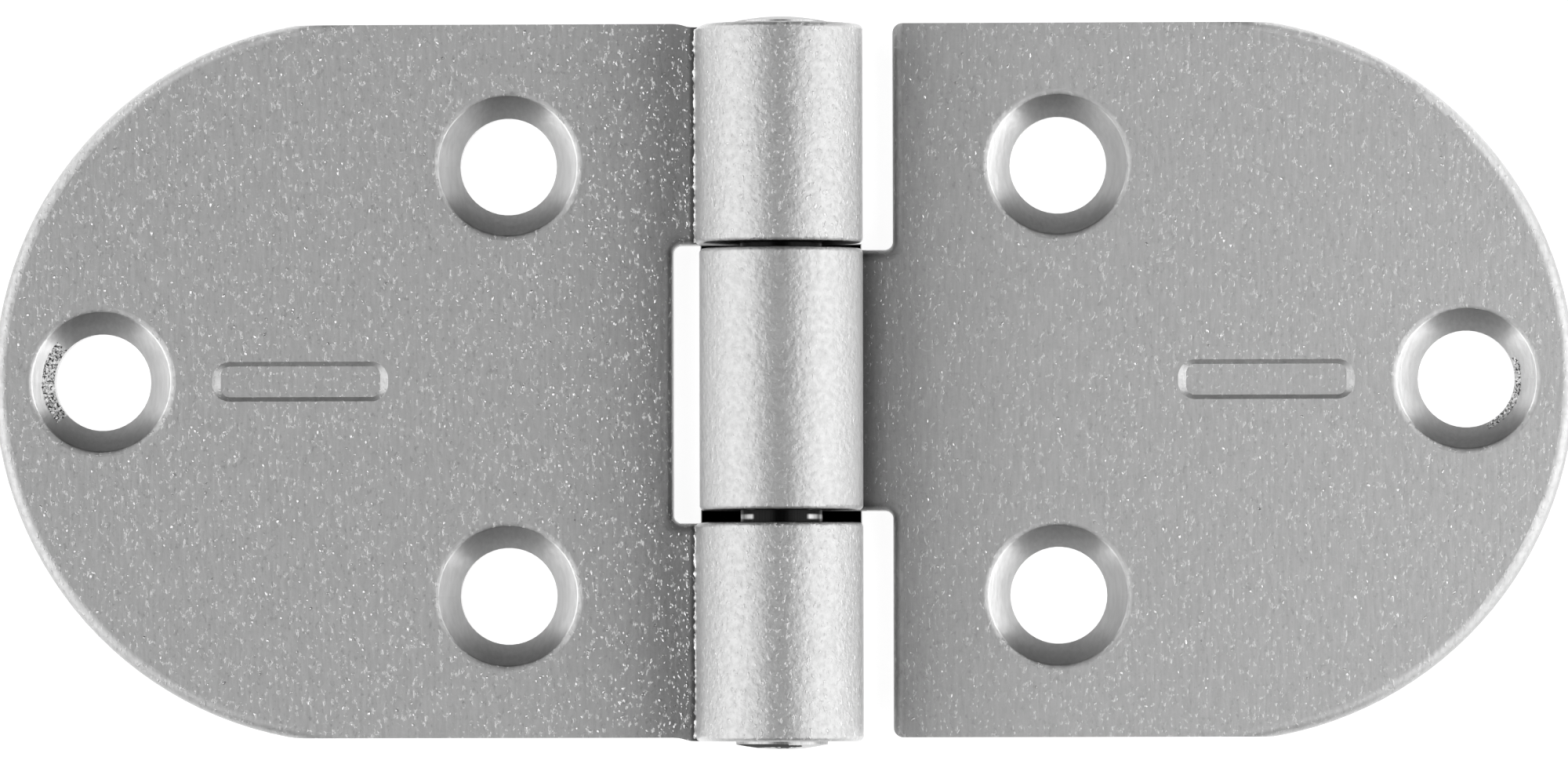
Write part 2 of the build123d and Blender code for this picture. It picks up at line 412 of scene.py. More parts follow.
    def rim(
        self, graph: NodeGraph, reach: bpy.types.NodeSocket, aside: bpy.types.NodeSocket
    ) -> bpy.types.NodeSocket:
        """Find the painted highlight on the curved rim, strongest where it begins towards +Y.

        Args:
            graph: The material's node graph.
            reach: The distance from the pin's axis.
            aside: The place along the pin.

        Returns:
            The share of the lacquer's tone, 1 away from the rim.
        """
        ahead = graph.math("MAXIMUM", graph.math("SUBTRACT", reach, CROWN_CENTRE), 0.0)
        # Painted highlight on the curved rim.
        gain = graph.ramp(graph.hypot(ahead, aside), self.rim_start, self.rim_end, 0.0, self.rim_highlight - 1)
        curved = graph.ramp(ahead, self.rim_straight, self.rim_curved, 0.0, 1.0)
        shoulder = graph.ramp(aside, self.rim_tip, self.rim_shoulder, self.rim_tip_share, 1.0)
        return graph.math("MULTIPLY_ADD", gain, graph.math("MULTIPLY", curved, shoulder), 1.0)

    def painted_shade(
        self, graph: NodeGraph, parts: bpy.types.NodeOutputs, on_leaf: bpy.types.NodeSocket
    ) -> bpy.types.NodeSocket:
        """Find the painted shade beside the knuckles and in the gaps between them.

        Args:
            graph: The material's node graph.
            parts: The place on the object as X, Y and Z.
            on_leaf: 1 at the leaf's height and below, 0 on the knuckle.

        Returns:
            The share of the lacquer's tone that the painted shade leaves.
        """
        on_front = self.on_front(graph, parts, on_leaf)
        in_middle = graph.math("LESS_THAN", graph.math("ABSOLUTE", parts[1]), self.middle_half)
        past_pin = graph.math("MULTIPLY", graph.math("GREATER_THAN", parts[0], 0.0), in_middle)
        before_root = graph.math("LESS_THAN", parts[0], self.root_edge)
        before_root = graph.math("MULTIPLY", before_root, graph.rest(in_middle))
        # Painted shade in the corner on the leaf's front beside the middle knuckle.
        corner = graph.ramp(parts[0], self.corner_start, self.corner_end, self.corner_shade, 1.0)
        corner = graph.math("POWER", corner, graph.math("MULTIPLY", on_front, past_pin))
        # Painted shade on the leaf's front along the seams of the outer knuckles.
        seam = graph.ramp(parts[0], self.seam_start, self.seam_full, 1.0, self.seam_shade)
        seam = graph.math("POWER", seam, graph.math("MULTIPLY", on_front, before_root))
        left = graph.math("MULTIPLY", corner, seam)
        on_roll = graph.math("LESS_THAN", graph.math("ABSOLUTE", parts[0]), self.gap_reach)
        # Painted shade on the knuckles' ends in the gaps between them.
        for centre, half in self.gaps:
            away = graph.away(parts[1], centre)
            gap = graph.ramp(away, half, half + self.gap_blend, self.gap_shade, 1.0)
            left = graph.math("MULTIPLY", left, graph.math("POWER", gap, on_roll))
        return left

    def on_front(
        self, graph: NodeGraph, parts: bpy.types.NodeOutputs, on_leaf: bpy.types.NodeSocket
    ) -> bpy.types.NodeSocket:
        """Find the leaf's front.

        Args:
            graph: The material's node graph.
            parts: The place on the object as X, Y and Z.
            on_leaf: 1 at the leaf's height and below, 0 on the knuckle.

        Returns:
            1 on the upper half of the sheet, 0 below it, on the knuckle and on the end faces.
        """
        above_back = graph.ramp(parts[2], self.front_low, self.front_edge, 0.0, 1.0)
        front = graph.math("MULTIPLY", above_back, on_leaf)
        return graph.math("MULTIPLY", front, self.off_ends(graph, parts))

    def off_ends(self, graph: NodeGraph, parts: bpy.types.NodeOutputs) -> bpy.types.NodeSocket:
        """Find what isn't an end face, that is a face near the pin which looks along it.

        Args:
            graph: The material's node graph.
            parts: The place on the object as X, Y and Z.

        Returns:
            0 on the knuckles' ends and on the leaf's sides beside them, 1 elsewhere.
        """
        normal = graph.node("ShaderNodeTexCoord").outputs["Normal"]
        along = graph.math("ABSOLUTE", graph.node("ShaderNodeSeparateXYZ", {0: normal}).outputs[1])
        turned = graph.ramp(along, self.end_start, self.end_full, 1.0, 0.0)
        beyond = graph.math("GREATER_THAN", graph.math("ABSOLUTE", parts[0]), self.shade_far_end)
        return graph.math("MAXIMUM", turned, beyond)

    def in_sink(
        self, graph: NodeGraph, place: bpy.types.NodeSocket, parts: bpy.types.NodeOutputs
    ) -> bpy.types.NodeSocket:
        """Find the countersinks, which lie mirrored about both middle planes.

        Args:
            graph: The material's node graph.
            place: The place on the object.
            parts: The same place as X, Y and Z.

        Returns:
            1 inside a countersink, 0 outside.
        """
        folded = graph.vector("ABSOLUTE", place)[0]
        flat = graph.vector("MULTIPLY", folded, WITHOUT_HEIGHT)[0]
        away = [graph.vector("DISTANCE", flat, centre)["Value"] for centre in self.sink_places]
        nearest = graph.math("MINIMUM", *away)
        within = graph.ramp(nearest, self.sink_radius - self.sink_blend, self.sink_radius, 1.0, 0.0)
        return graph.math("MULTIPLY", within, graph.ramp(parts[2], self.back_start, self.back_end, 0.0, 1.0))

    def sink_light_and_shade(self, graph: NodeGraph, parts: bpy.types.NodeOutputs) -> bpy.types.NodeSocket:
        """Find the painted light in the countersinks: painted shade on the walls towards -Y, painted
        highlights elsewhere, most towards +Y.

        Args:
            graph: The material's node graph.
            parts: The place on the object as X, Y and Z.

        Returns:
            The share of the lacquer's tone.
        """
        moved = graph.math("ADD", parts[1], self.sink_pitch / 2)
        aside = graph.math("SUBTRACT", parts[1], graph.math("SNAP", moved, self.sink_pitch))
        least = self.sink_low_shade * self.sink_highlight
        low = graph.ramp(aside, -self.sink_end, -self.sink_side, least, self.sink_highlight)
        high = graph.ramp(aside, self.sink_side, self.sink_end, 1.0, self.sink_high_highlight)
        return graph.math("MULTIPLY", low, high)

    def gloss(
        self,
        graph: NodeGraph,
        peel: bpy.types.NodeSocket,
        on_leaf: bpy.types.NodeSocket,
        in_sink: bpy.types.NodeSocket,
    ) -> bpy.types.NodeSocket:
        """Find the lacquer's roughness, which is less on the knuckle and in the countersinks.

        Args:
            graph: The material's node graph.
            peel: The orange peel's pattern.
            on_leaf: 1 at the leaf's height and below, 0 on the knuckle.
            in_sink: 1 inside a countersink.

        Returns:
            The roughness.
        """
        base = graph.ramp(on_leaf, 0.0, 1.0, self.knuckle_roughness, self.leaf_roughness)
        smoother = self.sink_roughness - self.leaf_roughness
        base = graph.math("MULTIPLY_ADD", in_sink, smoother, base)
        spread = graph.ramp(peel, NOISE_LOW, NOISE_HIGH, -self.roughness_spread, self.roughness_spread)
        return graph.math("MULTIPLY_ADD", spread, graph.rest(in_sink), base)


def raised_lacquer(name: str, tone: float) -> SilverLacquer:
    """Describe lacquer on lumps that stand out of the leaf, so that it gets neither the painted shade beside
    the knuckle nor that of the seam and the root.

    Args:
        name: The material's name.
        tone: Its tone.

    Returns:
        The lacquer, smoother than the leaf's.
    """
    return SilverLacquer(
        name=name,
        tone=tone,
        leaf_roughness=0.4,
        root_shade=1.0,
        shade_near=1.0,
        shade_far=1.0,
        seam_shade=1.0,
    )


@dataclass(frozen=True)
class DrawnSteel:
    """Bare steel with fine drawing lines along the pin.

    Painted shade blackens it inside the joint, and a painted highlight brightens its flanks in the wider gap
    between the knuckles. Painted shade blackens the edge of the lower head.
    """

    tone: float = 0.42
    middle: float = -0.17 * MM
    # Painted shade blackens the pin inside the joint.
    joint_shade: float = 0.012
    joint_end: float = 17.53 * MM
    joint_blend: float = 0.06 * MM
    # Painted highlight on the pin's flanks in the wider gap.
    glint_tone: float = 0.6
    glint_place: float = -6.72 * MM
    glint_full: float = 0.05 * MM
    glint_end: float = 0.16 * MM
    glint_from: float = 1.25 * MM
    glint_flank: float = 1.5 * MM
    # Painted shade on the lower head's rim.
    head_shade_start: float = 17.61 * MM
    head_shade_full: float = 17.65 * MM
    head_shade_side: float = 0.7 * MM
    head_shade_low: float = 4.4 * MM
    head_shade_inner: float = 1.3 * MM
    head_shade_size: float = 0.6 * MM
    head_shade_spread: float = 0.35 * MM
    axis_height: float = 4.0 * MM
    head_shade_roughness: float = 0.9
    line_spread: float = 0.15
    roughness: float = 0.30
    line_width: float = 0.05 * MM
    line_length: float = 4.0 * MM
    line_depth: float = 0.004 * MM

    def material(self) -> bpy.types.Material:
        """Build the node material.

        Returns:
            The finished material.
        """
        material, graph = new_material("drawn_steel")
        place = graph.node("ShaderNodeTexCoord").outputs["Object"]
        parts = graph.node("ShaderNodeSeparateXYZ", {0: place}).outputs
        lines = graph.noise(place, self.line_width, self.line_length)
        bump = graph.bump(graph.math("MULTIPLY", lines, self.line_depth))
        # Painted shade on the lower head's rim: black, rough and not metallic.
        unshaded = graph.rest(self.head_shade(graph, place, parts))
        drawn = graph.ramp(lines, NOISE_LOW, NOISE_HIGH, 1 - self.line_spread, 1 + self.line_spread)
        tone = graph.math("MULTIPLY", graph.math("MULTIPLY", self.steel_tone(graph, parts), drawn), unshaded)
        shader = graph.node(
            "ShaderNodeBsdfPrincipled",
            {
                "Base Color": graph.grey(tone),
                "Metallic": unshaded,
                "Roughness": graph.ramp(unshaded, 0.0, 1.0, self.head_shade_roughness, self.roughness),
                "Normal": bump,
            },
        )
        graph.node("ShaderNodeOutputMaterial", {"Surface": shader.outputs[0]})
        return material

    def steel_tone(self, graph: NodeGraph, parts: bpy.types.NodeOutputs) -> bpy.types.NodeSocket:
        """Find the steel's tone, with painted shade inside the joint and a painted highlight on its flanks in
        the wider gap.

        Returns:
            The steel's tone.
        """
        from_middle = graph.away(parts[1], self.middle)
        joint_full = self.joint_end - self.joint_blend
        # Painted shade blackens the pin inside the joint.
        base = graph.ramp(from_middle, joint_full, self.joint_end, self.joint_shade, self.tone)
        # Painted highlight on the pin's flanks in the wider gap.
        from_gap = graph.away(parts[1], self.glint_place)
        in_gap = graph.ramp(from_gap, self.glint_full, self.glint_end, self.glint_tone, 0.0)
        across = graph.math("ABSOLUTE", parts[0])
        on_flank = graph.ramp(across, self.glint_from, self.glint_flank, 0.0, 1.0)
        return graph.math("MULTIPLY_ADD", in_gap, on_flank, base)

    def head_shade(
        self, graph: NodeGraph, place: bpy.types.NodeSocket, parts: bpy.types.NodeOutputs
    ) -> bpy.types.NodeSocket:
        """Find the painted shade on the lower head's rim, with its uneven border.

        Args:
            graph: The material's node graph.
            place: The place on the object.
            parts: The same place as X, Y and Z.

        Returns:
            1 in the painted shade, 0 elsewhere.
        """
        towards_low = graph.math("SUBTRACT", self.middle, parts[1])
        on_edge = graph.ramp(towards_low, self.head_shade_start, self.head_shade_full, 0.0, 1.0)
        pattern = graph.noise(place, self.head_shade_size, self.head_shade_size)
        wander = graph.ramp(pattern, NOISE_LOW, NOISE_HIGH, -self.head_shade_spread, self.head_shade_spread)
        aside = graph.math("LESS_THAN", graph.math("ADD", parts[0], wander), self.head_shade_side)
        high = graph.math("GREATER_THAN", graph.math("ADD", parts[2], wander), self.head_shade_low)
        rise = graph.math("SUBTRACT", parts[2], self.axis_height)
        radius = graph.hypot(parts[0], rise)
        outer = graph.math("GREATER_THAN", graph.math("ADD", radius, wander), self.head_shade_inner)
        on_rim = graph.math("MULTIPLY", on_edge, outer)
        return graph.math("MULTIPLY", on_rim, graph.math("MULTIPLY", aside, high))


@dataclass(frozen=True)
class TornLacquer:
    """Lacquer over torn metal, full of dark pits and bright edges."""

    tone: float = 0.55
    pit_tone: float = 0.04
    pit_size: float = 0.13 * MM
    pit_depth: float = 0.05 * MM
    pit_full: float = 0.38
    pit_end: float = 0.52
    roughness: float = 0.42

    def material(self) -> bpy.types.Material:
        """Build the node material.

        Returns:
            The finished material.
        """
        material, graph = new_material("torn_lacquer")
        place = graph.node("ShaderNodeTexCoord").outputs["Object"]
        pits = graph.noise(place, self.pit_size, self.pit_size)
        tone = graph.ramp(pits, self.pit_full, self.pit_end, self.pit_tone, self.tone)
        bump = graph.bump(graph.math("MULTIPLY", pits, self.pit_depth))
        shader = graph.node(
            "ShaderNodeBsdfPrincipled",
            {"Base Color": graph.grey(tone), "Metallic": 1.0, "Roughness": self.roughness, "Normal": bump},
        )
        graph.node("ShaderNodeOutputMaterial", {"Surface": shader.outputs[0]})
        return material


@dataclass(frozen=True)
class Finishes:
    """The hinge's materials."""

    lacquer: bpy.types.Material
    raised: bpy.types.Material
    bead: bpy.types.Material
    torn: bpy.types.Material
    steel: bpy.types.Material


def deselect() -> None:
    """Leave nothing selected, so that an operator acts only on what comes next."""
    bpy.ops.object.select_all(action="DESELECT")


def edit_where(piece: bpy.types.Object, kind: Element, test: Callable[[list[Vector]], bool]) -> None:
    """Enter edit mode with only those elements selected whose corners pass a test.

    Args:
        piece: The active mesh object.
        kind: The kind of element.
        test: Takes an element's corners and tells whether it is selected.
    """
    bpy.ops.object.mode_set(mode="EDIT")
    bpy.ops.mesh.select_mode(type=kind.value)
    bpy.ops.mesh.select_all(action="DESELECT")
    bpy.ops.object.mode_set(mode="OBJECT")
    mesh = piece.data
    elements = mesh.edges if kind is Element.EDGE else mesh.polygons
    for element in elements:
        element.select = test([mesh.vertices[corner].co for corner in element.vertices])
    bpy.ops.object.mode_set(mode="EDIT")


def use_modifier(piece: bpy.types.Object, kind: str, **settings: object) -> None:
    """Add one modifier to the active object and apply it.

    Args:
        piece: The active object.
        kind: The modifier's type name.
        settings: The modifier's properties.
    """
    modifier = piece.modifiers.new(kind.lower(), kind)
    for name, value in settings.items():
        setattr(modifier, name, value)
    bpy.ops.object.modifier_apply(modifier=modifier.name)


def roughen(piece: bpy.types.Object, size: float, height: float, level: float = 0.5) -> None:
    """Push a piece's surface in and out at random along its normals.

    Args:
        piece: The active object.
        size: The size of the lumps.
        height: How far the surface moves from the deepest to the highest place.
        level: The share of that height which lies below the old surface.
    """
    texture = bpy.data.textures.new(f"{piece.name}_lumps", "CLOUDS")
    texture.noise_scale = size
    settings = {"texture": texture, "texture_coords": "LOCAL", "strength": height, "mid_level": level}
    use_modifier(piece, "DISPLACE", **settings)


def finish_piece(piece: bpy.types.Object, body: Body, material: bpy.types.Material) -> None:
    """Smooth and dress a lacquered piece and let it ride on its body.

    Args:
        piece: The active object.
        body: The body that it moves with.
        material: Its finish.
    """
    bpy.ops.object.shade_smooth_by_angle(angle=SMOOTH_ANGLE)
    piece.data.materials.append(material)
    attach(piece, body.value)
    log.info("built %s with %d faces", piece.name, len(piece.data.polygons))


@dataclass
class SeamBead:
    """Ragged bead of lacquer on the free end of one rolled knuckle."""

    name: str
    start: float
    end: float
    across: float = -4.20 * MM
    height: float = 2.28 * MM
    radius: float = 0.13 * MM
    sides: int = 10
    cuts: int = 150
    lump_size: float = 0.22 * MM
    lump_height: float = 0.34 * MM

    def build(self, body: Body, lacquer: bpy.types.Material) -> None:
        """Model the bead as a lumpy rod along the seam.

        Args:
            body: The body that it moves with.
            lacquer: Its finish.
        """
        length = self.end - self.start
        deselect()
        bpy.ops.mesh.primitive_cylinder_add(
            vertices=self.sides,
            radius=self.radius,
            depth=length,
            location=(self.across, (self.start + self.end) / 2, self.height),
            rotation=(math.pi / 2, 0, 0),
        )
        bead = bpy.context.object
        bead.name = self.name
        bpy.ops.object.transform_apply(location=True, rotation=True, scale=True)
        edit_where(bead, Element.EDGE, lambda ends: (ends[0] - ends[1]).length > length / 2)
        bpy.ops.mesh.subdivide(number_cuts=self.cuts)
        bpy.ops.object.mode_set(mode="OBJECT")
        roughen(bead, self.lump_size, self.lump_height)
        finish_piece(bead, body, lacquer)


@dataclass
class TornWall:
    """Patch of torn metal low on the wall of one countersink."""

    name: str
    centre: float
    facing: float
    half_angle: float
    outer: float
    lump_height: float
    inner: float = 2.41 * MM
    hole_radius: float = 2.375 * MM
    hole_top: float = 0.85 * MM
    steps: int = 60
    cuts: int = 7
    lump_size: float = 0.15 * MM
    level: float = 0.38
    thickness: float = 0.12 * MM

    def covers(self, corners: list[Vector]) -> bool:
        """Tell whether a face of the whole ring lies in the torn part.

        Args:
            corners: The face's corners.

        Returns:
            True in the torn part.
        """
        middle = sum(corners, Vector()) / len(corners)
        facing = math.radians(self.facing)
        away = math.atan2(middle.y, middle.x - self.centre) - facing
        turn = math.atan2(math.sin(away), math.cos(away))
        return abs(turn) < math.radians(self.half_angle)

    def build(self, body: Body, torn: bpy.types.Material) -> None:
        """Model the patch as a stretch of the countersink's cone with lumps and pits.

        Args:
            body: The body that it moves with.
            torn: Its finish.
        """
        low = self.hole_top + self.inner - self.hole_radius
        high = self.hole_top + self.outer - self.hole_radius
        deselect()
        bpy.ops.mesh.primitive_cone_add(
            vertices=self.steps,
            radius1=self.inner,
            radius2=self.outer,
            depth=high - low,
            end_fill_type="NOTHING",
            location=(self.centre, 0, (low + high) / 2),
        )
        patch = bpy.context.object
        patch.name = self.name
        bpy.ops.object.transform_apply(location=True, rotation=True, scale=True)
        edit_where(patch, Element.FACE, lambda corners: not self.covers(corners))
        bpy.ops.mesh.delete(type="FACE")
        bpy.ops.mesh.select_all(action="SELECT")
        bpy.ops.mesh.subdivide(number_cuts=self.cuts)
        bpy.ops.mesh.flip_normals()
        bpy.ops.object.mode_set(mode="OBJECT")
        roughen(patch, self.lump_size, self.lump_height, self.level)
        use_modifier(patch, "SOLIDIFY", thickness=self.thickness, offset=-1.0)
        finish_piece(patch, body, torn)


@dataclass
class Nibs:
    """Grains that stand out of the lacquer, scattered over one leaf's front."""

    name: str
    side: int
    count: int
    root_count: int
    middle_half: float
    middle_reach: float
    outer_reach: float
    seed: int
    front: float = 2.0 * MM
    tip: float = 38.0 * MM
    half_width: float = 17.2 * MM
    crown_radius: float = 17.1 * MM
    root_end: float = 13.0 * MM
    root_crowding: int = 2
    holes: tuple[tuple[float, float], ...] = (PAIR_HOLE, END_HOLE)
    hole_clear: float = 3.9 * MM
    mark: tuple[float, float] = (23.7 * MM, 4.6 * MM)
    mark_half: float = 1.2 * MM
    radius: float = 0.06 * MM
    flatness: float = 0.9
    uneven: float = 0.45
    least_size: float = 0.5
    most_size: float = 1.0
    root_size: float = 1.05
    most_stretch: float = 2.0
    turn: float = 0.5
    segments: int = 8
    rings: int = 6
    shapes: int = 4

    def is_clear(self, reach: float, along: float) -> bool:
        """Tell whether a place lies on the leaf's open front.

        Args:
            reach: The distance from the pin's axis.
            along: The place along the pin.

        Returns:
            True on the open front.
        """
        root = self.middle_reach if abs(along) < self.middle_half else self.outer_reach
        in_crown = math.hypot(reach - CROWN_CENTRE, along) < self.crown_radius
        in_mark = abs(reach - self.mark[0]) < self.mark[1] and abs(along) < self.mark_half
        in_hole = any(math.hypot(reach - x, abs(along) - y) < self.hole_clear for x, y in self.holes)
        return reach > root and (reach < CROWN_CENTRE or in_crown) and not in_mark and not in_hole

    def places(self, dice: random.Random) -> list[tuple[float, float]]:
        """Scatter places over the front, with more of them by the root.

        Args:
            dice: The source of chance.

        Returns:
            Each place as its reach from the pin's axis and its place along the pin.
        """
        root = min(self.middle_reach, self.outer_reach)
        found = []
        while len(found) < self.count + self.root_count:
            by_root = len(found) < self.root_count
            end = self.root_end if by_root else self.tip
            share = dice.random() ** self.root_crowding if by_root else dice.random()
            place = (root + share * (end - root), dice.uniform(-self.half_width, self.half_width))
            if self.is_clear(*place):
                found.append(place)
        return found

    def shape(self, seed: int) -> bpy.types.Object:
        """Model one grain as an uneven ball, which lies half sunk in the leaf's front.

        Args:
            seed: Which of the uneven shapes it is.

        Returns:
            The grain, at the origin.
        """
        deselect()
        sizes = {"segments": self.segments, "ring_count": self.rings, "radius": self.radius}
        bpy.ops.mesh.primitive_uv_sphere_add(**sizes)
        grain = bpy.context.object
        bpy.ops.object.mode_set(mode="EDIT")
        bpy.ops.mesh.select_all(action="SELECT")
        bpy.ops.transform.vertex_random(offset=self.radius * self.uneven, seed=seed)
        bpy.ops.object.mode_set(mode="OBJECT")
        return grain

    def build(self, body: Body, lacquer: bpy.types.Material) -> None:
        """Copy the grains to their places and join them.

        Args:
            body: The body that they move with.
            lacquer: Their finish.
        """
        dice = random.Random(self.seed)
        shapes = [self.shape(seed) for seed in range(self.shapes)]
        copies = []
        for number, (reach, along) in enumerate(self.places(dice)):
            grain = dice.choice(shapes).copy()
            grain.data = grain.data.copy()
            size = dice.uniform(self.least_size, self.most_size)
            if number < self.root_count:
                size *= self.root_size
            stretch = dice.uniform(1.0, self.most_stretch)
            turn = Matrix.Rotation(dice.gauss(0, self.turn), 4, "Z")
            scale = Matrix.Diagonal((size, size * stretch, size * self.flatness, 1))
            grain.matrix_world = Matrix.Translation((self.side * reach, along, self.front)) @ turn @ scale
            bpy.context.scene.collection.objects.link(grain)
            copies.append(grain)
        for shape in shapes:
            bpy.data.objects.remove(shape)
        deselect()
        for grain in copies:
            grain.select_set(True)
        bpy.context.view_layer.objects.active = copies[0]
        bpy.ops.object.join()
        nibs = bpy.context.object
        nibs.name = self.name
        bpy.ops.object.transform_apply(location=True, rotation=True, scale=True)
        finish_piece(nibs, body, lacquer)


@dataclass
class Leaf:
    """One leaf of the hinge, as a lacquered sheet with its small faults."""

    node: str
    body: Body
    nibs: Nibs
    torn_wall: TornWall
    beads: tuple[SeamBead, ...] = ()

    def build(self, finishes: Finishes) -> None:
        """Give the leaf its lacquer and model its faults.

        Args:
            finishes: The hinge's materials.
        """
        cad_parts[self.node].material_slots[0].material = finishes.lacquer
        log.info("dressed %s", self.node)
        for bead in self.beads:
            bead.build(self.body, finishes.bead)
        self.torn_wall.build(self.body, finishes.torn)
        self.nibs.build(self.body, finishes.raised)


def two_knuckle_leaf() -> Leaf:
    """Describe the leaf towards -X, with a ragged seam on each knuckle and a coarse root.

    Returns:
        The leaf.
    """
    return Leaf(
        node="two_knuckle_leaf",
        body=Body.FIXED,
        nibs=Nibs(
            name="two_knuckle_leaf_nibs",
            side=-1,
            count=600,
            root_count=600,
            middle_half=7.4 * MM,
            middle_reach=6.1 * MM,
            outer_reach=4.65 * MM,
            seed=5,
        ),
        torn_wall=TornWall(
            name="two_knuckle_leaf_torn_wall",
            centre=-END_HOLE[0],
            facing=180.0,
            half_angle=44.0,
            outer=2.95 * MM,
            lump_height=0.24 * MM,
        ),
        beads=(
            SeamBead("low_knuckle_seam_bead", start=-17.5 * MM, end=-7.1 * MM),
            SeamBead("high_knuckle_seam_bead", start=6.8 * MM, end=17.2 * MM),
        ),
    )


def one_knuckle_leaf() -> Leaf:
    """Describe the leaf towards +X.

    Returns:
        The leaf.
    """
    return Leaf(
        node="one_knuckle_leaf",
        body=Body.SWINGING,
        nibs=Nibs(
            name="one_knuckle_leaf_nibs",
            side=1,
            count=330,
            root_count=0,
            middle_half=6.0 * MM,
            middle_reach=4.6 * MM,
            outer_reach=6.1 * MM,
            seed=8,
        ),
        torn_wall=TornWall(
            name="one_knuckle_leaf_torn_wall",
            centre=END_HOLE[0],
            facing=-20.0,
            half_angle=46.0,
            outer=2.68 * MM,
            lump_height=0.20 * MM,
        ),
    )


@dataclass
class Pin:
    """The riveted pin."""

    node: str = "hinge_pin"

    def dress(self, steel: bpy.types.Material) -> None:
        """Give the pin its bare steel."""
        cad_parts[self.node].material_slots[0].material = steel
        log.info("dressed %s", self.node)


@dataclass(frozen=True)
class SoftLamp:
    """Soft box that stands beside one leaf and faces the hinge."""

    name: str
    side: int
    distance: float
    radiance: float
    elevation: float = 31.0
    half_height: float = 35.0
    half_length: float = 40.0
    towards_low_end: float = 7.0

    def build(self) -> None:
        """Make the lamp, with its size from the angles that it fills as seen from the hinge."""
        data = bpy.data.lights.new(self.name, "AREA")
        data.shape = "RECTANGLE"
        data.size = 2 * self.distance * math.tan(math.radians(self.half_length))
        data.size_y = 2 * self.distance * math.tan(math.radians(self.half_height))
        data.energy = self.radiance * math.pi * data.size * data.size_y
        lamp = bpy.data.objects.new(self.name, data)
        rise = math.radians(self.elevation)
        turn = math.radians(self.towards_low_end)
        across = math.cos(rise) * math.cos(turn)
        along = -math.cos(rise) * math.sin(turn)
        lamp.location = Vector((self.side * across, along, math.sin(rise))) * self.distance
        lamp.rotation_euler = (-lamp.location).to_track_quat("-Z", "Y").to_euler()
        lamp.visible_camera = False
        bpy.context.scene.collection.objects.link(lamp)


